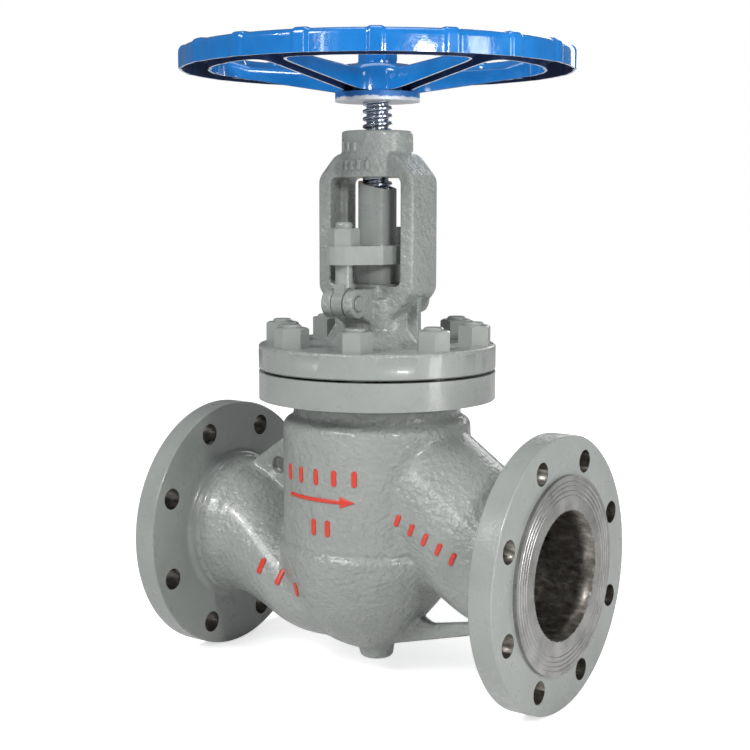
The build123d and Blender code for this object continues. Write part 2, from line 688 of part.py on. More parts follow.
def rim_sheet(section, arc, grow):
    """Length of the rim's bent sheet, its outside pushed out by grow: closed above, open below."""
    outer = WHEEL_R - GRIP_PROUD
    inner = outer - RIM_WIDTH
    top = RIM_TOP - GRIP_PROUD
    mid = (outer + inner) / 2
    with BuildPart() as sheet:
        with BuildSketch(section):
            with Locations((mid, RIM_BOTTOM)):
                outside = Rectangle(
                    RIM_WIDTH + 2 * grow, top + grow - RIM_BOTTOM, align=(Align.CENTER, Align.MIN),
                )
            fillet(outside.vertices().group_by(Axis.Y)[-1], radius=RIM_ROUND)
        revolve(axis=STEM_AXIS, revolution_arc=arc)
        with BuildSketch(section):
            with Locations((mid, RIM_BOTTOM)):
                hollow = Rectangle(
                    RIM_WIDTH - 2 * SHEET, top - SHEET - RIM_BOTTOM, align=(Align.CENTER, Align.MIN),
                )
            fillet(hollow.vertices().group_by(Axis.Y)[-1], radius=RIM_ROUND - SHEET)
            with Locations((inner - grow, RIM_BOTTOM)):
                Rectangle(SHEET + 2 * grow, INNER_WALL_BOTTOM - RIM_BOTTOM, align=(Align.MIN, Align.MIN))
        revolve(axis=STEM_AXIS, revolution_arc=arc, mode=Mode.SUBTRACT)
    return sheet


def channel(bottom, half_w, height):
    """Outline of an open-bottomed channel."""
    return [
        (-half_w, bottom), (-half_w, bottom + height), (half_w, bottom + height), (half_w, bottom),
        (half_w - SHEET, bottom), (half_w - SHEET, bottom + height - SHEET),
        (-half_w + SHEET, bottom + height - SHEET), (-half_w + SHEET, bottom),
    ]


def spoke(angle):
    """Pressed channel spoke from the cup to the rim, rising outwards."""
    a = radians(angle)
    ends = (
        (CUP_R - SHEET, WHEEL_SEAT_Z + HUB_DISC_T + 0.4, SPOKE_H_INNER),
        (WHEEL_R - RIM_WIDTH + 1.0, RIM_BOTTOM + 1.5, SPOKE_H_OUTER),
    )
    with BuildPart() as arm:
        for radius, bottom, height in ends:
            section = Plane(
                origin=(STEM_X + radius * cos(a), radius * sin(a), 0),
                x_dir=(-sin(a), cos(a), 0), z_dir=(cos(a), sin(a), 0),
            )
            with BuildSketch(section):
                with BuildLine():
                    Polyline(*channel(bottom, SPOKE_W / 2, height), close=True)
                make_face()
        loft(ruled=True)
    return arm


cup_bottom = WHEEL_SEAT_Z + HUB_DISC_T + 0.2
cup = turned([
    (WHEEL_THREAD_R + 1, WHEEL_TOP_Z - SHEET), (CUP_R - SHEET, WHEEL_TOP_Z - SHEET),
    (CUP_R - SHEET, cup_bottom), (CUP_R, cup_bottom), (CUP_R, WHEEL_TOP_Z - 3),
    (CUP_R - 3, WHEEL_TOP_Z), (WHEEL_THREAD_R + 1, WHEEL_TOP_Z),
])
rim = rim_sheet(SIDE, 360, 0.0)
spokes = [spoke(SPOKE_PHASE + i * 360 / SPOKES) for i in range(SPOKES)]
grips = [
    rim_sheet(radial_plane(GRIP_PHASE + i * 360 / GRIPS - GRIP_ARC / 2), GRIP_ARC, GRIP_PROUD)
    for i in range(GRIPS)
]
with BuildPart() as handwheel:
    add(rim.part)
    add(cup.part)
    for piece in spokes + grips:
        add(piece.part)
save(handwheel, "handwheel")

with BuildPart() as wheel_hub:
    with BuildSketch(STEM.offset(WHEEL_SEAT_Z)):
        Circle(HUB_DISC_R)
    extrude(amount=HUB_DISC_T)
    with BuildSketch(STEM.offset(WHEEL_SEAT_Z)):
        Circle(HUB_BARREL_R)
    extrude(amount=SQUARE_TOP - WHEEL_SEAT_Z)
    with BuildSketch(STEM.offset(WHEEL_SEAT_Z)):
        Rectangle(WHEEL_SQUARE + 2 * FIT, WHEEL_SQUARE + 2 * FIT)
    extrude(amount=SQUARE_TOP - WHEEL_SEAT_Z, mode=Mode.SUBTRACT)
save(wheel_hub, "wheel_hub")

wheel_nut_z = WHEEL_TOP_Z + WHEEL_WASHER_T
save(ring(WHEEL_THREAD_R + 0.3, WHEEL_WASHER_R, WHEEL_TOP_Z, wheel_nut_z), "wheel_washer")

top_nut = hex_nut(WHEEL_NUT_FLATS, WHEEL_NUT_H, WHEEL_THREAD_R + FIT)
with BuildPart(STEM.offset(wheel_nut_z)) as wheel_nut:
    add(top_nut.part)
save(wheel_nut, "wheel_nut")
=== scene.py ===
import math

import bmesh
import bpy
from mathutils import Matrix, Vector
from mathutils.bvhtree import BVHTree


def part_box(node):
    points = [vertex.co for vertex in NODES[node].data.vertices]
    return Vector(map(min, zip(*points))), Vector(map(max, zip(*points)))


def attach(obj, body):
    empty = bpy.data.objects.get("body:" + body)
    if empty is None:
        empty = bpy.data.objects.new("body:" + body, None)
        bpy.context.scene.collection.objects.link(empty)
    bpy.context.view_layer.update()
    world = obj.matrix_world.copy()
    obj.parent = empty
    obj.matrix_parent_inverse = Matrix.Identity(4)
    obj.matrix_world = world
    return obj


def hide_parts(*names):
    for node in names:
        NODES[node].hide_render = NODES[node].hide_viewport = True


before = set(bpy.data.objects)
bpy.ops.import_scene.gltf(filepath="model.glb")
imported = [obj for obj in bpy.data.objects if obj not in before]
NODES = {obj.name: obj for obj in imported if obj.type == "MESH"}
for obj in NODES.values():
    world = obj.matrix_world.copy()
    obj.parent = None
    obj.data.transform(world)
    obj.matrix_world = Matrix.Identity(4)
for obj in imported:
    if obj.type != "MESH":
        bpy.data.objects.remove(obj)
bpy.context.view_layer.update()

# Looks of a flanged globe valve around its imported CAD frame.  Metres, +X the flow, +Z up the stem.
MM = 0.001
FLOOR_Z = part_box("body")[0].z
FACE_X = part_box("body")[1].x
STEM_X = sum(corner.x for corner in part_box("wheel_hub")) / 2
COVER_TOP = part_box("body")[1].z
BONNET_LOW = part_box("bonnet_gasket")[1].z

# --- casting: where the crisp machined ends stop and the soft cast skin begins
HUB_CUT = 33 * MM
COVER_CUT = COVER_TOP - 28 * MM
BONNET_CUT = BONNET_LOW + 17 * MM
BODY_VOXEL = 1.5 * MM
BONNET_VOXEL = 0.9 * MM
BLEND = 12 * MM
CHAMBER_R = 77 * MM
LEDGE_Z = 6.5 * MM
FACE_R = 77 * MM
BORE_R = 50 * MM


# --- materials ------------------------------------------------------------------------------------

class Shader:
    """A Principled material with short calls for its procedural parts."""

    def __init__(self, name, **sockets):
        self.material = bpy.data.materials.new(name)
        self.material.use_nodes = True
        self.tree = self.material.node_tree
        self.surface = self.tree.nodes["Principled BSDF"]
        self.coordinates = self.tree.nodes.new("ShaderNodeTexCoord").outputs["Object"]
        self.normal = None
        for socket, value in sockets.items():
            self.surface.inputs[socket.replace("_", " ")].default_value = value

    def node(self, kind, **settings):
        made = self.tree.nodes.new(kind)
        for name, value in settings.items():
            setattr(made, name, value)
        return made

    def link(self, output, target):
        self.tree.links.new(output, target)

    def noise(self, scale, detail=3.0, roughness=0.55, stretch=None):
        made = self.node("ShaderNodeTexNoise")
        made.inputs["Scale"].default_value = scale
        made.inputs["Detail"].default_value = detail
        made.inputs["Roughness"].default_value = roughness
        source = self.coordinates
        if stretch:
            mapping = self.node("ShaderNodeMapping")
            mapping.inputs["Scale"].default_value = stretch
            self.link(source, mapping.inputs["Vector"])
            source = mapping.outputs["Vector"]
        self.link(source, made.inputs["Vector"])
        return made.outputs["Fac"]

    def color(self, value, stops):
        """Base colour from a 0-1 value through (position, colour) stops."""
        ramp = self.node("ShaderNodeValToRGB")
        elements = ramp.color_ramp.elements
        while len(elements) < len(stops):
            elements.new(0.5)
        for element, (position, rgb) in zip(elements, stops):
            element.position = position
            element.color = (*rgb, 1)
        self.link(value, ramp.inputs["Fac"])
        self.link(ramp.outputs["Color"], self.surface.inputs["Base Color"])

    def vary(self, socket, value, low, high):
        """A surface number that wanders between low and high with the given value."""
        spread = self.node("ShaderNodeMapRange")
        spread.inputs["From Min"].default_value = 0.3
        spread.inputs["From Max"].default_value = 0.7
        spread.inputs["To Min"].default_value = low
        spread.inputs["To Max"].default_value = high
        self.link(value, spread.inputs["Value"])
        self.link(spread.outputs["Result"], self.surface.inputs[socket])

    def bump(self, value, height, strength=1.0):
        """Add relief of the given height in metres; calls stack."""
        made = self.node("ShaderNodeBump")
        made.inputs["Strength"].default_value = strength
        made.inputs["Distance"].default_value = height
        self.link(value, made.inputs["Height"])
        if self.normal:
            self.link(self.normal, made.inputs["Normal"])
        self.normal = made.outputs["Normal"]
        self.link(self.normal, self.surface.inputs["Normal"])

    def rings(self, axis, pitch, centre=(0, 0, 0)):
        """Sine of the distance from an axis: the concentric marks of a lathe."""
        moved = self.node("ShaderNodeMapping")
        moved.inputs["Location"].default_value = [-c for c in centre]
        self.link(self.coordinates, moved.inputs["Vector"])
        flat = self.node("ShaderNodeVectorMath", operation="MULTIPLY")
        flat.inputs[1].default_value = [0 if i == axis else 1 for i in range(3)]
        self.link(moved.outputs["Vector"], flat.inputs[0])
        length = self.node("ShaderNodeVectorMath", operation="LENGTH")
        self.link(flat.outputs["Vector"], length.inputs[0])
        turns = self.node("ShaderNodeMath", operation="MULTIPLY")
        turns.inputs[1].default_value = 2 * math.pi / pitch
        self.link(length.outputs["Value"], turns.inputs[0])
        wave = self.node("ShaderNodeMath", operation="SINE")
        self.link(turns.outputs["Value"], wave.inputs[0])
        return wave.outputs["Value"]


def grey_paint(name, cast):
    """Grey enamel: over a sand casting it follows the grain, on machined steel it lies smooth."""
    gloss = 0.3 if cast else 0.4
    paint = Shader(name, Roughness=0.3, Coat_Weight=gloss, Coat_Roughness=0.1, Specular_IOR_Level=0.5)
    tone = paint.noise(22, 4)
    paint.color(tone, [
        (0.30, (0.262, 0.279, 0.264)), (0.52, (0.290, 0.306, 0.292)), (0.75, (0.314, 0.330, 0.317)),
    ])
    paint.vary("Roughness", paint.noise(60, 3), 0.24, 0.40)
    if cast:
        paint.bump(paint.noise(75, 2, 0.5), 3.0 * MM, 0.6)
        paint.bump(paint.noise(240, 2, 0.5), 2.6 * MM, 0.7)
        paint.bump(paint.noise(620, 2, 0.5), 0.6 * MM, 0.5)
    else:
        paint.bump(paint.noise(60, 2, 0.5), 1.6 * MM, 0.4)
        paint.bump(paint.noise(450, 2, 0.5), 0.35 * MM, 0.5)
    return paint.material


def blue_paint(name):
    """Blue enamel on pressed sheet, with a light orange peel and a tone that wanders."""
    paint = Shader(name, Roughness=0.16, Coat_Weight=0.6, Coat_Roughness=0.05, Specular_IOR_Level=0.55)
    paint.color(paint.noise(30, 3), [
        (0.3, (0.006, 0.150, 0.475)), (0.55, (0.010, 0.185, 0.560)), (0.8, (0.020, 0.225, 0.640)),
    ])
    paint.vary("Roughness", paint.noise(90, 3), 0.12, 0.26)
    paint.bump(paint.noise(70, 2, 0.5), 1.2 * MM, 0.35)
    paint.bump(paint.noise(380, 2, 0.5), 0.25 * MM, 0.4)
    return paint.material


SPRAY_Z = (360 * MM, 372 * MM)


def sprayed_hub(name):
    """Pale cast hub, blue where the spray reached it from above."""
    hub = Shader(name, Roughness=0.42, Metallic=0.1)
    split = hub.node("ShaderNodeSeparateXYZ")
    hub.link(hub.coordinates, split.inputs["Vector"])
    ragged = hub.node("ShaderNodeMath", operation="MULTIPLY_ADD")
    hub.link(hub.noise(180, 3), ragged.inputs[0])
    ragged.inputs[1].default_value = 4 * MM
    hub.link(split.outputs["Z"], ragged.inputs[2])
    height = hub.node("ShaderNodeMapRange")
    height.inputs["From Min"].default_value = SPRAY_Z[0]
    height.inputs["From Max"].default_value = SPRAY_Z[1]
    hub.link(ragged.outputs["Value"], height.inputs["Value"])
    hub.color(height.outputs["Result"], [
        (0.0, (0.62, 0.63, 0.66)), (0.52, (0.55, 0.58, 0.64)), (0.60, (0.012, 0.12, 0.38)),
    ])
    hub.bump(hub.noise(330, 4), 0.5 * MM, 0.6)
    return hub.material


def painted_shade_blue(name):
    """Near-black blue on the inside of the pressed channels: painted shade where little light reaches
    under the sheet.
    """
    thin = Shader(name, Roughness=0.5)
    thin.color(thin.noise(45, 4), [(0.3, (0.003, 0.012, 0.055)), (0.7, (0.010, 0.040, 0.150))])
    thin.bump(thin.noise(300, 3), 0.4 * MM, 0.5)
    return thin.material


def bare_edge(name):
    """Sheared sheet edge where the enamel is thin and pale."""
    edge = Shader(name, Roughness=0.38, Metallic=0.25)
    edge.color(edge.noise(160, 4), [
        (0.30, (0.16, 0.30, 0.52)), (0.48, (0.55, 0.63, 0.74)), (0.70, (0.78, 0.81, 0.86)),
    ])
    edge.bump(edge.noise(500, 3), 0.2 * MM, 0.5)
    return edge.material


def turned_steel(name, axis, centre, pitch, tone=(0.56, 0.55, 0.54), rough=(0.22, 0.42), brushed=0.0):
    """Bare lathe-turned steel with concentric tool marks."""
    steel = Shader(name, Metallic=1.0, Roughness=0.3, Anisotropic=brushed)
    if brushed:
        around = steel.node("ShaderNodeTangent", direction_type="RADIAL", axis="XYZ"[axis])
        steel.link(around.outputs["Tangent"], steel.surface.inputs["Tangent"])
    dark = tuple(0.72 * c for c in tone)
    light = tuple(min(1.0, 1.25 * c) for c in tone)
    steel.color(steel.noise(55, 5, 0.6), [(0.3, dark), (0.5, tone), (0.72, light)])
    steel.vary("Roughness", steel.noise(140, 4), *rough)
    steel.bump(steel.rings(axis, pitch, centre), 0.06 * MM, 0.55)
    steel.bump(steel.noise(900, 3), 0.06 * MM, 0.6)
    return steel.material


def bored_iron(name):
    """Rough-bored passage: dark bare steel with blotches of shine."""
    iron = Shader(name, Metallic=0.85, Roughness=0.36)
    iron.color(iron.noise(190, 7, 0.68, (0.5, 1, 1)), [
        (0.32, (0.075, 0.066, 0.058)), (0.52, (0.18, 0.165, 0.148)), (0.74, (0.42, 0.40, 0.37)),
    ])
    iron.vary("Roughness", iron.noise(210, 5, 0.6), 0.24, 0.5)
    iron.bump(iron.noise(420, 4, 0.6, (0.5, 1, 1)), 0.14 * MM, 0.6)
    return iron.material


def red_paint(name):
    """Brushed-on red over raised marks, worn through to the grey in places."""
    red = Shader(name, Roughness=0.35, Coat_Weight=0.2)
    red.color(red.noise(620, 4, 0.6), [
        (0.28, (0.30, 0.28, 0.26)), (0.38, (0.52, 0.035, 0.018)), (0.70, (0.72, 0.045, 0.020)),
    ])
    red.bump(red.noise(900, 3), 0.25 * MM, 0.6)
    return red.material


def graphite(name):
    """Woven graphite packing."""
    weave = Shader(name, Roughness=0.7)
    weave.color(weave.noise(900, 3), [(0.35, (0.012, 0.012, 0.013)), (0.7, (0.055, 0.055, 0.058))])
    weave.bump(weave.noise(1300, 2), 0.3 * MM, 0.8)
    return weave.material


centre_line = (STEM_X, 0, 0)
CAST_GREY = grey_paint("cast_grey_enamel", True)
SMOOTH_GREY = grey_paint("smooth_grey_enamel", False)
BLUE = blue_paint("blue_enamel")
PALE_EDGE = bare_edge("pale_sheet_edge")
NAVY = painted_shade_blue("painted_shade_blue_inside")
FLANGE_FACE = turned_steel(
    "turned_flange_face", 0, (0, 0, 0), 0.9 * MM, (0.40, 0.395, 0.385), (0.26, 0.42), brushed=0.75)
TURNED = turned_steel("turned_stem_steel", 2, centre_line, 0.6 * MM)
THREAD = turned_steel("blued_thread", 2, centre_line, 0.5 * MM, (0.42, 0.47, 0.56), (0.14, 0.30))
HUB_IRON = sprayed_hub("pale_sprayed_hub")
HARD_FACE = turned_steel("lapped_seat", 2, centre_line, 0.4 * MM, (0.68, 0.67, 0.65), (0.12, 0.22))
BRONZE = turned_steel("turned_bronze", 2, centre_line, 0.7 * MM, (0.62, 0.42, 0.20), (0.22, 0.38))
BORE = bored_iron("bored_iron")
RED = red_paint("red_mark_paint")
GRAPHITE = graphite("graphite_packing")


# --- mesh helpers ---------------------------------------------------------------------------------

def smoothstep(value, low, high):
    """0 below low, 1 above high, smooth between."""
    t = min(1.0, max(0.0, (value - low) / (high - low)))
    return t * t * (3 - 2 * t)


def new_object(name, mesh):
    made = bpy.data.objects.new(name, mesh)
    bpy.context.scene.collection.objects.link(made)
    return made


def object_from(name, mesh_edit, materials, angle=35):
    """Turn a bmesh into a shown object, smooth-shaded up to the given edge angle."""
    mesh = bpy.data.meshes.new(name)
    mesh_edit.to_mesh(mesh)
    mesh_edit.free()
    for material in materials:
        mesh.materials.append(material)
    mesh.shade_smooth()
    mesh.set_sharp_from_angle(angle=math.radians(angle))
    return new_object(name, mesh)


def exact_normals(mesh, crisp):
    """Shade the flats and turned cylinders of the crisp materials by their true normals."""
    even = 0.01 * MM
    normals = []
    for face in mesh.polygons:
        spots = [mesh.vertices[v].co for v in face.vertices]
        exact = [(0, 0, 0)] * len(spots)
        if face.material_index in crisp:
            about_x = [Vector((0, spot.y, spot.z)) for spot in spots]
            about_stem = [Vector((spot.x - STEM_X, spot.y, 0)) for spot in spots]
            if max(abs(face.normal.x), abs(face.normal.z)) > 0.9995:
                exact = [face.normal] * len(spots)
            else:
                for rays, slope in ((about_x, face.normal.x), (about_stem, face.normal.z)):
                    lengths = [ray.length for ray in rays]
                    if max(lengths) - min(lengths) < even and abs(slope) < 0.02:
                        side = 1 if rays[0].dot(face.normal) > 0 else -1
                        exact = [ray.normalized() * side for ray in rays]
        normals += exact
    mesh.normals_split_custom_set(normals)


def cad_copy(node):
    """The CAD node's triangles as a welded bmesh."""
    copied = bmesh.new()
    copied.from_mesh(NODES[node].data)
    bmesh.ops.remove_doubles(copied, verts=copied.verts, dist=1e-6)
    return copied


def edges_of(geometry):
    return [item for item in geometry if isinstance(item, bmesh.types.BMEdge)]


def cut_open(piece, point, normal):
    """Cut off the side that the normal points to; returns the rim of the cut."""
    return edges_of(bmesh.ops.bisect_plane(
        piece, geom=piece.verts[:] + piece.edges[:] + piece.faces[:], dist=1e-7,
        plane_co=point, plane_no=normal, clear_outer=True,
    )["geom_cut"])


def cap(piece, rim, normal):
    bmesh.ops.triangle_fill(piece, use_beauty=True, edges=rim, normal=normal)


def cut_away(piece, point, normal):
    """Cut off the side that the normal points to, and close the cut."""
    cap(piece, cut_open(piece, point, normal), normal)


def joined(parts):
    """One bmesh holding all the given ones as separate islands."""
    whole = bmesh.new()
    for part in parts:
        spare = bpy.data.meshes.new("spare")
        part.to_mesh(spare)
        part.free()
        whole.from_mesh(spare)
        bpy.data.meshes.remove(spare)
    return whole


def skirt(piece, low, high, material=0):
    """Faces between two closed rings of as many vertices."""
    for k in range(len(low)):
        after = (k + 1) % len(low)
        face = piece.faces.new((low[k], low[after], high[after], high[k]))
        face.material_index = material


def soft_skin(node, voxel, weight, rounds):
    """Voxel remesh of a CAD node, its junctions melted together where weight says so."""
    source = cad_copy(node)
    mesh = bpy.data.meshes.new(node + "_skin")
    source.to_mesh(mesh)
    source.free()
    skin = new_object(node + "_skin", mesh)
    remesh = skin.modifiers.new("remesh", "REMESH")
    remesh.mode = "VOXEL"
    remesh.voxel_size = voxel
    remeshed = bpy.data.meshes.new_from_object(skin.evaluated_get(bpy.context.evaluated_depsgraph_get()))
    skin.modifiers.clear()
    skin.data = remeshed
    group = skin.vertex_groups.new(name="soft")
    for vertex in remeshed.vertices:
        share = weight(vertex.co)
        if share > 0:
            group.add([vertex.index], share, "REPLACE")
    smooth = skin.modifiers.new("melt", "SMOOTH")
    smooth.factor = 0.5
    smooth.iterations = rounds
    smooth.vertex_group = group.name
    melted = bpy.data.meshes.new_from_object(skin.evaluated_get(bpy.context.evaluated_depsgraph_get()))
    bpy.data.objects.remove(skin)
    made = bmesh.new()
    made.from_mesh(melted)
    original = cad_copy(node)
    exact = BVHTree.FromBMesh(original)
    original.free()
    for vertex in made.verts:
        crisp = 1 - weight(vertex.co)
        if crisp > 0.5:
            vertex.co = vertex.co.lerp(exact.find_nearest(vertex.co)[0], smoothstep(crisp, 0.5, 1.0))
    return made


def inside_islands(piece):
    """Faces of every open island but the outermost: the passages inside a casting cut at its ends."""
    seen, islands = set(), []
    for start in piece.faces:
        if start in seen:
            continue
        island, stack = [], [start]
        seen.add(start)
        while stack:
            face = stack.pop()
            island.append(face)
            for edge in face.edges:
                for other in edge.link_faces:
                    if other not in seen:
                        seen.add(other)
                        stack.append(other)
        islands.append(island)

    def reach(island):
        sample = island[::max(1, len(island) // 400)]
        return max((face.calc_center_median().xz - Vector((STEM_X, 0))).length for face in sample)

    outside = max(islands, key=reach)
    return [face for island in islands if island is not outside for face in island]


# --- body casting ---------------------------------------------------------------------------------

CAST_SKIN, RAISED_FACE, BARE_BORE, MACHINED = range(4)
BODY_FINISHES = [CAST_GREY, FLANGE_FACE, BORE, SMOOTH_GREY]
BOLT_HOLE_BAND = (78 * MM, 100 * MM)
COVER_BORE_R = 61 * MM
GROOVES = 4


def body_weight(co):
    """Softness of the casting at a point: crisp at the cuts, the machined seat and the ledge."""
    ends = smoothstep(min(co.x, FACE_X - co.x), HUB_CUT + 2 * MM, HUB_CUT + BLEND)
    top = 1 - smoothstep(co.z, COVER_CUT - BLEND, COVER_CUT - 2 * MM)
    radius = math.hypot(co.x - STEM_X, co.y)
    ledge = 1.0
    if radius > CHAMBER_R - 4 * MM and abs(co.z - LEDGE_Z) < 5 * MM:
        ledge = 0.25 + 0.75 * smoothstep(abs(co.z - LEDGE_Z), 1 * MM, 5 * MM)
    inner = 1.0
    if -8 * MM < co.z < 20 * MM:
        inner = smoothstep(radius, CHAMBER_R - 10 * MM, CHAMBER_R - 7 * MM)
    return ends * top * ledge * inner


def raise_grooves(piece, x, direction):
    """Turn the flat raised face into rings with sealing grooves between the bore and its rim."""
    flat = [
        f for f in piece.faces
        if all(abs(v.co.x - x) < 1e-5 for v in f.verts)
        and f.calc_center_median().yz.length < FACE_R
    ]
    outer = [
        e for e in dict.fromkeys(e for f in flat for e in f.edges)
        if sum(1 for g in e.link_faces if g in flat) == 1
        and min(v.co.yz.length for v in e.verts) > FACE_R - 1 * MM
    ]
    bmesh.ops.delete(piece, geom=flat, context="FACES")
    depth = 0.5 * MM
    rings = []
    for k in range(GROOVES):
        radius = FACE_R - (4.2 + 3.6 * k) * MM
        rings += [
            (radius + 0.5 * MM, 0), (radius + 0.15 * MM, -depth),
            (radius - 0.15 * MM, -depth), (radius - 0.5 * MM, 0),
        ]
    rings.append((BORE_R + 1.2 * MM, 0))
    loop = [e for e in outer if e.is_valid]
    for radius, level in rings:
        grown = bmesh.ops.extrude_edge_only(piece, edges=loop)["geom"]
        for vert in (v for v in grown if isinstance(v, bmesh.types.BMVert)):
            ray = vert.co.yz.normalized() * radius
            vert.co = (x + level * direction, ray.x, ray.y)
        loop = edges_of(grown)

    def at_mouth(vert):
        return vert.co.yz.length < BORE_R + 0.5 * MM and abs(vert.co.x - x) < 1e-5

    mouth = [e for e in piece.edges if e.is_boundary and all(at_mouth(v) for v in e.verts)]
    bmesh.ops.bridge_loops(piece, edges=loop + mouth)
    bmesh.ops.recalc_face_normals(piece, faces=piece.faces)


def flange_end(x, direction):
    """Crisp flange cut from the CAD body; direction points out of the valve."""
    end = cad_copy("body")
    raise_grooves(end, x, direction)
    cut_away(end, (x - direction * HUB_CUT, 0, 0), (-direction, 0, 0))
    for face in end.faces:
        middle = face.calc_center_median()
        radius = middle.yz.length
        depth = abs(middle.x - x)
        # Bolt-hole walls are drilled bare metal. They take the dark bored-iron finish, which also paints
        # the shade inside the holes.
        shaded_hole_wall = abs(face.normal.x) < 0.3 and BOLT_HOLE_BAND[0] < radius < BOLT_HOLE_BAND[1]
        if radius < BORE_R + 0.4 * MM or shaded_hole_wall:
            face.material_index = BARE_BORE
        elif depth < 3.05 * MM and radius < FACE_R + 0.1 * MM:
            face.material_index = RAISED_FACE
        else:
            face.material_index = MACHINED
    return end


def cover_end():
    """Crisp cover flange on top of the body."""
    top = cad_copy("body")
    cut_away(top, (0, 0, COVER_CUT), (0, 0, -1))
    for face in top.faces:
        middle = face.calc_center_median()
        inside = math.hypot(middle.x - STEM_X, middle.y) < COVER_BORE_R
        face.material_index = BARE_BORE if inside else MACHINED
    return top


def carve_ledge(skin):
    """Shallow line with a bead under it where the round chamber sits on the bowl."""
    for vertex in skin.verts:
        plan = Vector((vertex.co.x - STEM_X, vertex.co.y))
        radius = plan.length
        if not CHAMBER_R - 4 * MM < radius < CHAMBER_R + 6 * MM:
            continue
        above = vertex.co.z - LEDGE_Z
        push = 0.8 * MM * math.exp(-((above + 5.5 * MM) / (3.2 * MM)) ** 2)
        push -= 1.5 * MM * math.exp(-(above / (2.4 * MM)) ** 2)
        push *= 1 - smoothstep(radius, CHAMBER_R + 3 * MM, CHAMBER_R + 6 * MM)
        plan *= (radius + push) / radius
        vertex.co.x, vertex.co.y = STEM_X + plan.x, plan.y


def make_body():
    skin = soft_skin("body", BODY_VOXEL, body_weight, 26)
    carve_ledge(skin)
    planes = [
        ((HUB_CUT, 0, 0), (-1, 0, 0)),
        ((FACE_X - HUB_CUT, 0, 0), (1, 0, 0)),
        ((0, 0, COVER_CUT), (0, 0, 1)),
    ]
    rims = []
    for point, normal in planes:
        rims.append((normal, cut_open(skin, point, normal)))
    for face in inside_islands(skin):
        face.material_index = BARE_BORE
    for normal, rim in rims:
        cap(skin, [edge for edge in rim if edge.is_valid], normal)
    whole = joined([skin, flange_end(0.0, -1), flange_end(FACE_X, 1), cover_end()])
    body = object_from("valve_body", whole, BODY_FINISHES, 40)
    exact_normals(body.data, (RAISED_FACE, MACHINED))
    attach(body, "root")
    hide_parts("body")
    return body


# --- bonnet and yoke ------------------------------------------------------------------------------

def bonnet_weight(co):
    """Soft outside, crisp at the flange and in the stem bore."""
    low = smoothstep(co.z, BONNET_CUT + 1 * MM, BONNET_CUT + 6 * MM)
    bore = smoothstep(math.hypot(co.x - STEM_X, co.y), 20.5 * MM, 24 * MM)
    return low * bore


def make_bonnet():
    skin = soft_skin("bonnet", BONNET_VOXEL, bonnet_weight, 8)
    cut_away(skin, (0, 0, BONNET_CUT), (0, 0, -1))
    flange = cad_copy("bonnet")
    cut_away(flange, (0, 0, BONNET_CUT), (0, 0, 1))
    for face in flange.faces:
        face.material_index = 1
    bonnet = object_from("yoke_bonnet", joined([skin, flange]), [CAST_GREY, SMOOTH_GREY], 40)
    exact_normals(bonnet.data, (1,))
    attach(bonnet, "root")
    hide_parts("bonnet")
    return bonnet


# --- stem with its threads ------------------------------------------------------------------------

STEM_OUTLINE = [
    (0.0, 34.1), (9.0, 36.0), (17.0, 36.0), (17.0, 46.0), (12.0, 46.0), (12.0, 100.0), (17.0, 105.0),
    (17.0, 112.0), (12.0, 117.0), (12.0, 272.0),
]
# threads: lowest and highest point, pitch, crest radius, root radius, step between rows
STEM_THREAD = (272.1, 362.0, 6.0, 11.9, 8.9, 0.35)
TOP_THREAD = (388.6, 409.5, 2.5, 8.95, 7.7, 0.25)
SPINDLE_R = 8.0
SPINDLE_Z = (362.0, 388.6)
TIP_R, TIP_Z = 7.6, 411.0
STEM_SIDES = 96


def trapezoid(phase, crest, root):
    """Radius of a worn trapezoidal thread, its corners rounded, at a phase of its pitch, 0 to 1."""
    return root + (crest - root) * (1 - smoothstep(abs((phase % 1.0) - 0.5), 0.13, 0.36))


def thread_rows(z_low, z_high, pitch, crest, root, step):
    """Rows of (radius, height) round the stem for a thread that fades in over its first turn."""
    rows = []
    count = int((z_high - z_low) / step)
    for k in range(count + 1):
        z = z_low + (z_high - z_low) * k / count
        runout = min(1.0, (z - z_low) / pitch)
        row = []
        for side in range(STEM_SIDES):
            cut = trapezoid(z / pitch - side / STEM_SIDES, crest, root)
            row.append((crest + (cut - crest) * runout, z))
        rows.append(row)
    return rows


def lathed(rows):
    """Closed mesh through rows of points round the stem, its second finish from the thread up."""
    piece = bmesh.new()
    grid = []
    for row in rows:
        ring = []
        for side, (radius, z) in enumerate(row):
            angle = 2 * math.pi * side / STEM_SIDES
            ring.append(piece.verts.new((
                STEM_X + radius * MM * math.cos(angle), radius * MM * math.sin(angle), z * MM,
            )))
        grid.append(ring)
    for low, high in zip(grid, grid[1:]):
        threaded = low[0].co.z > STEM_THREAD[0] * MM - 1e-6
        skirt(piece, low, high, 1 if threaded else 0)
    bmesh.ops.remove_doubles(piece, verts=piece.verts, dist=1e-7)
    bmesh.ops.dissolve_degenerate(piece, edges=piece.edges, dist=1e-7)
    return piece


def make_stem():
    rows = [[(radius, z)] * STEM_SIDES for radius, z in STEM_OUTLINE]
    rows += thread_rows(*STEM_THREAD)
    rows += [[(SPINDLE_R, z)] * STEM_SIDES for z in SPINDLE_Z]
    rows += thread_rows(*TOP_THREAD)
    rows += [[(radius, TIP_Z)] * STEM_SIDES for radius in (TIP_R, 0.0)]
    stem = object_from("stem_threaded", lathed(rows), [TURNED, THREAD], 60)
    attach(stem, "stem")
    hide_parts("stem")
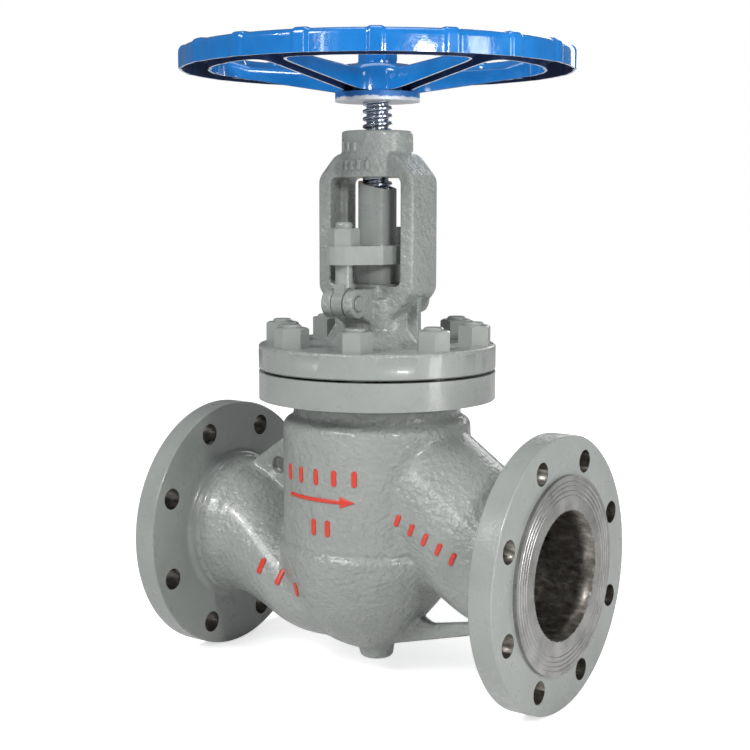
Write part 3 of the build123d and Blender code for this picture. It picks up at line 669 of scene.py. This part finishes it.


# --- handwheel ------------------------------------------------------------------------------------

# The sheet's inside skin takes a near-black blue that paints the shade under the crown and in the
# channels.
ENAMEL, BARE_EDGE, PAINTED_SHADE_COAT = range(3)
WHEEL_FINISHES = [BLUE, PALE_EDGE, NAVY]
RIM_R = 156.9 * MM
RIM_INNER_R = 133 * MM
RIM_Z = (386 * MM, 402.9 * MM)
CUP_R = 31 * MM
CUP_Z = (369.3 * MM, 391 * MM)
SHEET = 2 * MM
CROWN_ROUND = 5.2 * MM
SPOKE_HALF = 8.4 * MM
SPOKES = 5
SPOKE_PHASE = math.radians(-19.3)
GRIPS = 18
GRIP_PHASE = math.radians(-55.8)
GRIP_HALF = math.radians(2.1)
GRIP_PROUD = 1.0 * MM
STEM_HOLE_R = 10 * MM
CUP_SEAM_R = 24.5 * MM
RIM_SEAM_R = 141 * MM
GRIP_FLANK = (0.72, 1.15)
HEM_STEP = 1.5 * MM
CORNER_ROUNDS = 60
CROWN_LINE = [
    (0, 391), (26, 391), (38, 387), (108, 392.5), (122, 397), (132, 401.6), (140, 402.9), (170, 402.9),
]


def crown_height(radius):
    """Height of the pressed sheet's top by radius: cup, sloping spokes, rim."""
    place = radius / MM
    for (r0, z0), (r1, z1) in zip(CROWN_LINE, CROWN_LINE[1:]):
        if place <= r1:
            return (z0 + (z1 - z0) * (place - r0) / (r1 - r0)) * MM
    return CROWN_LINE[-1][1] * MM


def lower_edge(radius):
    """Height of the sheet's lower edge by radius."""
    share = min(1.0, max(0.0, (radius - CUP_R) / (RIM_INNER_R - CUP_R)))
    return CUP_Z[0] + (RIM_Z[0] - CUP_Z[0]) * share


def window_outline(number):
    """One opening between two spokes: rounded sector as a closed ring of plan points."""
    middle = SPOKE_PHASE + (number + 0.5) * 2 * math.pi / SPOKES
    half_angle = math.pi / SPOKES

    def corner(radius, side):
        turn = half_angle - math.asin((SPOKE_HALF + 0.4 * MM) / radius)
        return middle + side * turn

    def arc(radius, start, end, count):
        angles = [start + (end - start) * k / count for k in range(count)]
        return [Vector((radius * math.cos(a), radius * math.sin(a))) for a in angles]

    def line(start, end, count):
        return [start.lerp(end, k / count) for k in range(count)]

    outer = (corner(RIM_INNER_R, -1), corner(RIM_INNER_R, 1))
    inner = (corner(CUP_R, 1), corner(CUP_R, -1))
    far = [Vector((RIM_INNER_R * math.cos(a), RIM_INNER_R * math.sin(a))) for a in outer]
    near = [Vector((CUP_R * math.cos(a), CUP_R * math.sin(a))) for a in inner]
    points = arc(RIM_INNER_R, *outer, int(RIM_INNER_R * (outer[1] - outer[0]) / HEM_STEP))
    points += line(far[1], near[0], int((far[1] - near[0]).length / HEM_STEP))
    points += arc(CUP_R, *inner, int(CUP_R * (inner[0] - inner[1]) / HEM_STEP))
    points += line(near[1], far[0], int((near[1] - far[0]).length / HEM_STEP))
    count = len(points)
    for _ in range(CORNER_ROUNDS):
        points = [(points[k - 1] + points[k] * 2 + points[(k + 1) % count]) / 4 for k in range(count)]
    return points


def sheet_profile():
    """(offset into the sheet, drop below the crown) pairs of its outer and its inner skin.

    The first of each is the lower edge, whose height doesn't depend on the crown: its drop is None.
    """
    arcs = 6
    outside = [(0.0, None)]
    inside = [(SHEET, None)]
    for k in range(arcs + 1):
        turn = math.pi / 2 * k / arcs
        small = CROWN_ROUND - SHEET
        outside.append((CROWN_ROUND * (1 - math.cos(turn)), CROWN_ROUND * (1 - math.sin(turn))))
        inside.append((SHEET + small * (1 - math.cos(turn)), SHEET + small * (1 - math.sin(turn))))
    return outside, inside


def wall(piece, outline, normals, profile, material):
    """Skirt of the sheet along a closed outline; returns its lowest and highest rings."""
    rings = []
    for offset, drop in profile:
        ring = []
        for point, normal in zip(outline, normals):
            spot = point + normal * offset
            height = lower_edge(point.length) if drop is None else crown_height(spot.length) - drop
            ring.append(piece.verts.new((STEM_X + spot.x, spot.y, height)))
        rings.append(ring)
    for low, high in zip(rings, rings[1:]):
        skirt(piece, low, high, material)
    return rings[0], rings[-1]


def outward(outline):
    """Unit normals pointing away from the middle of a closed convex outline."""
    middle = sum(outline, Vector((0, 0))) / len(outline)
    normals = []
    for k, point in enumerate(outline):
        along = (outline[(k + 1) % len(outline)] - outline[k - 1]).normalized()
        side = Vector((along.y, -along.x))
        normals.append(side if side.dot(point - middle) > 0 else -side)
    return normals


def circle(radius, count):
    angles = [2 * math.pi * k / count for k in range(count)]
    return [Vector((radius * math.cos(a), radius * math.sin(a))) for a in angles]


def plan_ring(piece, points, drop):
    """Closed ring of vertices on the crown, or below it by drop."""
    return [piece.verts.new((STEM_X + p.x, p.y, crown_height(p.length) - drop)) for p in points]


def ring_edges(piece, ring):
    pairs = zip(ring, ring[1:] + ring[:1])
    return [piece.edges.get(pair) or piece.edges.new(pair) for pair in pairs]


def swell_grips(piece):
    """Push the rim's sheet outwards where the finger grips are pressed into it."""
    heart_r = (RIM_R + RIM_INNER_R) / 2
    heart_z = RIM_Z[0]
    pitch = 2 * math.pi / GRIPS
    for vertex in piece.verts:
        plan = Vector((vertex.co.x - STEM_X, vertex.co.y))
        radius = plan.length
        near_rim = smoothstep(radius, RIM_INNER_R - 4 * MM, RIM_INNER_R)
        if near_rim == 0:
            continue
        angle = math.atan2(plan.y, plan.x) - GRIP_PHASE
        away = abs((angle / pitch + 0.5) % 1.0 - 0.5) * pitch
        flank = smoothstep(away, GRIP_HALF * GRIP_FLANK[0], GRIP_HALF * GRIP_FLANK[1])
        swell = near_rim * GRIP_PROUD * (1 - flank)
        side = 1 if radius > heart_r else -1
        reach = min(1.0, abs(radius - heart_r) / (6 * MM))
        plan *= (radius + side * swell * reach) / radius
        lift = swell * smoothstep(vertex.co.z, heart_z + 6 * MM, RIM_Z[1] - 2 * MM)
        vertex.co = (STEM_X + plan.x, plan.y, vertex.co.z + lift)


def hemmed(piece, outline, normals):
    """Both skins of the sheet along an outline, closed by its bare edge; returns their top rings."""
    outside, inside = sheet_profile()
    low_out, high_out = wall(piece, outline, normals, outside, ENAMEL)
    # inside skin: near-black blue as painted shade
    low_in, high_in = wall(piece, outline, normals, inside, PAINTED_SHADE_COAT)
    skirt(piece, low_in, low_out, BARE_EDGE)
    return high_out, high_in


def make_handwheel():
    """Pressed-sheet wheel: crowned rim with grips, channel spokes flowing into it, bare edges."""
    piece = bmesh.new()
    tops = [[], []]
    for points in map(window_outline, range(SPOKES)):
        for edges, ring in zip(tops, hemmed(piece, points, outward(points))):
            edges += ring_edges(piece, ring)
    rim = circle(RIM_R, 900)
    rim_tops = hemmed(piece, rim, [-point.normalized() for point in rim])
    hole = circle(STEM_HOLE_R, 96)
    upper, lower = (plan_ring(piece, hole, drop) for drop in (0, SHEET))
    skirt(piece, lower, upper, ENAMEL)
    skins = zip(tops, rim_tops, (upper, lower), (0, SHEET), (ENAMEL, PAINTED_SHADE_COAT))
    for edges, rim_top, bore, drop, finish in skins:
        for start, radius in ((rim_top, RIM_SEAM_R), (bore, CUP_SEAM_R)):
            seam = plan_ring(piece, circle(radius, len(start)), drop)
            skirt(piece, start, seam, finish)
            edges += ring_edges(piece, seam)
    for edges, finish in zip(tops, (ENAMEL, PAINTED_SHADE_COAT)):
        made = bmesh.ops.triangle_fill(piece, use_beauty=True, edges=edges, normal=(0, 0, 1))["geom"]
        for face in (f for f in made if isinstance(f, bmesh.types.BMFace)):
            face.material_index = finish
    swell_grips(piece)
    bmesh.ops.recalc_face_normals(piece, faces=piece.faces)
    wheel = object_from("pressed_handwheel", piece, WHEEL_FINISHES, 50)
    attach(wheel, "stem")
    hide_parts("handwheel")


# --- raised marks ---------------------------------------------------------------------------------

MARK_SINK = 0.8 * MM

def bar(piece, place, length, width, height):
    """Raised rounded bar: length along local Y, standing on local Z."""
    segments = 6
    outline = []
    for end in (1, -1):
        for k in range(segments + 1):
            angle = math.pi * k / segments + (0 if end > 0 else math.pi)
            outline.append((
                width / 2 * math.cos(angle), end * (length - width) / 2 + width / 2 * math.sin(angle),
            ))
    levels = (
        (0, -MARK_SINK), (0, 0.55 * height), (0.12 * width, 0.9 * height), (0.28 * width, height),
    )
    rings = []
    for shrink, level in levels:
        ring = []
        for x, y in outline:
            scale = 1 - shrink / (width / 2)
            core = max(-(length - width) / 2, min((length - width) / 2, y))
            ring.append(piece.verts.new(place @ Vector((x * scale, core + (y - core) * scale, level))))
        rings.append(ring)
    for low, high in zip(rings, rings[1:]):
        skirt(piece, low, high)
    piece.faces.new(rings[-1])
    piece.faces.new(list(reversed(rings[0])))


def surface_place(tree, aim, lean):
    """Frame on the casting where a level ray towards aim, coming from the front, meets it."""
    start = Vector(aim) + Vector((0, -0.3, 0))
    point, normal, _, _ = tree.ray_cast(start, Vector((0, 1, 0)))
    along = Vector((math.sin(lean), 0, math.cos(lean)))
    along = (along - normal * along.dot(normal)).normalized()
    across = along.cross(normal)
    return Matrix.Translation(point) @ Matrix((across, along, normal)).transposed().to_4x4()


def on_chamber(angle, z, height):
    radius = CHAMBER_R + height
    return Vector((STEM_X + radius * math.sin(angle), -radius * math.cos(angle), z))


def arrow(piece):
    """Flow arrow wrapped on the chamber, pointing to the outlet."""
    steps = 14
    left, neck, tip = (math.radians(a) for a in (-27.6, 12.8, 21.6))
    z = 50.6 * MM
    shaft, head = 1.5 * MM, 4.7 * MM
    height = 1.0 * MM
    stations = [(left + (neck - left) * k / steps, shaft) for k in range(steps + 1)]
    stations += [(neck, head), (neck + (tip - neck) * 0.5, head / 2), (tip, 0.15 * MM)]
    section = [
        (-1, -MARK_SINK), (-1, height * 0.6), (-0.6, height),
        (0.6, height), (1, height * 0.6), (1, -MARK_SINK),
    ]
    rows = [
        [piece.verts.new(on_chamber(angle, z + half * side, level)) for side, level in section]
        for angle, half in stations
    ]
    for near, far in zip(rows, rows[1:]):
        skirt(piece, near, far)
    piece.faces.new(list(reversed(rows[0])))
    piece.faces.new(rows[-1])
    bmesh.ops.recalc_face_normals(piece, faces=piece.faces)


def bar_row(piece, tree, aims, lean, size):
    """A bar of the given length, width and height on the casting in front of each aim, in mm."""
    for aim in aims:
        bar(piece, surface_place(tree, aim, math.radians(lean)), *(MM * side for side in size))


def make_marks(body):
    """Generic raised bars and a flow arrow where the real casting carries its markings."""
    tree = BVHTree.FromObject(body, bpy.context.evaluated_depsgraph_get())
    piece = bmesh.new()
    upper = [on_chamber(math.radians(-29 + 12.6 * k), (68 + 0.3 * k) * MM, 0) for k in range(5)]
    lower = [on_chamber(math.radians(-5.5 + 10 * k), 28.5 * MM, 0) for k in range(2)]
    inlet = [Vector(((100.0 + 20.0 * k) * MM, 0, (-16.5 - 6.5 * k) * MM)) for k in range(3)]
    outlet = [Vector(((232 + 12.6 * k) * MM, 0, (37.5 - 5.8 * k) * MM)) for k in range(5)]
    bar_row(piece, tree, upper, 0, (13, 4.2, 1.2))
    bar_row(piece, tree, lower, 0, (13.5, 4.2, 1.2))
    bar_row(piece, tree, inlet, 18, (14, 4.6, 1.3))
    bar_row(piece, tree, outlet, 25, (11, 4.0, 1.2))
    arrow(piece)
    marks = object_from("raised_marks", piece, [RED], 30)
    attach(marks, "root")


def make_boss_marks(bonnet):
    """Two rows of plain cast bars on the yoke boss, painted over."""
    tree = BVHTree.FromObject(bonnet, bpy.context.evaluated_depsgraph_get())
    piece = bmesh.new()
    for count, z, first, step in ((3, 326, -14.5, 6.2), (5, 311.5, -17.5, 6.6)):
        aims = [Vector((STEM_X + (first + step * k) * MM, 0, z * MM)) for k in range(count)]
        bar_row(piece, tree, aims, 0, (8.5, 3.0, 2.0))
    marks = object_from("yoke_cast_bars", piece, [CAST_GREY], 30)
    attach(marks, "root")


# --- finishes of the CAD nodes that stay ----------------------------------------------------------

FINISHES = {
    "bonnet_studs": SMOOTH_GREY, "bonnet_nuts": SMOOTH_GREY, "gland_plate": SMOOTH_GREY,
    "swing_bolt_front": SMOOTH_GREY, "swing_bolt_back": SMOOTH_GREY,
    "swing_pin_front": SMOOTH_GREY, "swing_pin_back": SMOOTH_GREY,
    "gland_nut_front": SMOOTH_GREY, "gland_nut_back": SMOOTH_GREY, "gland_bush": SMOOTH_GREY,
    "stem_sleeve": SMOOTH_GREY, "seat_ring": HARD_FACE, "disc": TURNED, "disc_nut": TURNED,
    "backseat_bush": BRONZE, "stem_nut": BRONZE, "stem_nut_screw": TURNED, "packing_washer": TURNED,
    "bonnet_gasket": GRAPHITE, "wheel_hub": HUB_IRON, "wheel_washer": BLUE, "wheel_nut": BLUE,
}
FINISHES.update({f"packing_ring_{k + 1}": GRAPHITE for k in range(5)})


def paint_nodes():
    for node, finish in FINISHES.items():
        NODES[node].data.materials.clear()
        NODES[node].data.materials.append(finish)


# --- studio ---------------------------------------------------------------------------------------

ROOM_LIGHT = 0.13
FLOOR_REACH = 12.0
FLOOR_GREY = 0.93
FLOOR_GLOW = 0.62    # seen by the camera only, so that the ground reads white as in the photo
AIM = (STEM_X, 0, 0.12)
BORE_AIM = (0.31, 0.0, -0.04)
SUN = {"place": (-0.12, -1.25, 1.1), "power": 1.8, "spread": math.radians(22)}
# name, place, aim, size and power of each area light
LAMPS = [
    ("sparkle", (-0.55, -1.5, 1.35), AIM, (0.09, 0.09), 3.2),
    ("right_softbox", (1.75, 0.0, 0.32), AIM, (0.35, 0.8), 8.0),
    ("front_strip", (0.35, -1.9, 0.9), AIM, (0.06, 0.9), 2.7),
    ("bore_light", (0.78, -0.38, 0.44), BORE_AIM, (0.10, 0.10), 2.2),
    ("top_softbox", (0.2, 0.1, 1.8), AIM, (0.9, 0.7), 5.0),
    ("back_softbox", (-0.2, 1.9, 0.9), AIM, (0.9, 0.9), 8.0),
]
CAMERA_TURN = (34.7465, 6.7798, 0.0836)
CAMERA_PLACE = (0.83767, -0.95842, 0.28044)
CAMERA_LENS = 68.769


def facing(place, aim):
    """Rotation that points a light at place towards aim."""
    return (Vector(aim) - Vector(place)).to_track_quat("-Z", "Y").to_euler()


def area_light(name, place, aim, size, power):
    lamp = bpy.data.lights.new(name, "AREA")
    lamp.shape = "RECTANGLE"
    lamp.size, lamp.size_y = size
    lamp.energy = power
    made = new_object(name, lamp)
    made.location = place
    made.rotation_euler = facing(place, aim)


def make_floor():
    mesh = bpy.data.meshes.new("floor")
    corners = [
        (FLOOR_REACH * x, FLOOR_REACH * y, FLOOR_Z) for x, y in ((-1, -1), (1, -1), (1, 1), (-1, 1))
    ]
    mesh.from_pydata(corners, [], [(0, 1, 2, 3)])
    pale = Shader("pale_floor", Roughness=0.6)
    pale.surface.inputs["Base Color"].default_value = (FLOOR_GREY, FLOOR_GREY, FLOOR_GREY, 1)
    pale.surface.inputs["Emission Color"].default_value = (FLOOR_GLOW, FLOOR_GLOW, FLOOR_GLOW, 1)
    seen = pale.node("ShaderNodeLightPath")
    pale.link(seen.outputs["Is Camera Ray"], pale.surface.inputs["Emission Strength"])
    mesh.materials.append(pale.material)
    new_object("floor", mesh)


def make_world():
    """Dim even room light; the camera itself sees plain white behind the valve."""
    world = bpy.data.worlds.new("studio")
    world.use_nodes = True
    tree = world.node_tree
    dim = tree.nodes["Background"]
    dim.inputs["Color"].default_value = (0.95, 0.98, 1.0, 1)
    dim.inputs["Strength"].default_value = ROOM_LIGHT
    white = tree.nodes.new("ShaderNodeBackground")
    white.inputs["Color"].default_value = (1, 1, 1, 1)
    seen = tree.nodes.new("ShaderNodeLightPath")
    mix = tree.nodes.new("ShaderNodeMixShader")
    tree.links.new(seen.outputs["Is Camera Ray"], mix.inputs["Fac"])
    tree.links.new(dim.outputs["Background"], mix.inputs[1])
    tree.links.new(white.outputs["Background"], mix.inputs[2])
    tree.links.new(mix.outputs["Shader"], tree.nodes["World Output"].inputs["Surface"])
    bpy.context.scene.world = world


def make_lights():
    sun = bpy.data.lights.new("key_sun", "SUN")
    sun.energy = SUN["power"]
    sun.angle = SUN["spread"]
    new_object("key_sun", sun).rotation_euler = facing(SUN["place"], AIM)
    for lamp in LAMPS:
        area_light(*lamp)


def make_camera():
    azimuth, elevation, roll = (math.radians(angle) for angle in CAMERA_TURN)
    level = math.cos(elevation)
    back = Vector((math.sin(azimuth) * level, -math.cos(azimuth) * level, math.sin(elevation)))
    right = Vector((math.cos(azimuth), math.sin(azimuth), 0))
    up = back.cross(right)
    right_rolled = right * math.cos(roll) + up * math.sin(roll)
    up_rolled = up * math.cos(roll) - right * math.sin(roll)
    camera = bpy.data.cameras.new("camera")
    camera.sensor_width = 36.0
    camera.lens = CAMERA_LENS
    made = new_object("camera", camera)
    axes = Matrix((right_rolled, up_rolled, back)).transposed().to_4x4()
    made.matrix_world = Matrix.Translation(CAMERA_PLACE) @ axes
    bpy.context.scene.camera = made


make_floor()
make_world()
make_lights()
make_camera()
paint_nodes()
valve_body = make_body()
yoke_bonnet = make_bonnet()
make_stem()
make_handwheel()
make_marks(valve_body)
make_boss_marks(yoke_bonnet)
bpy.context.scene.view_settings.view_transform = "Standard"
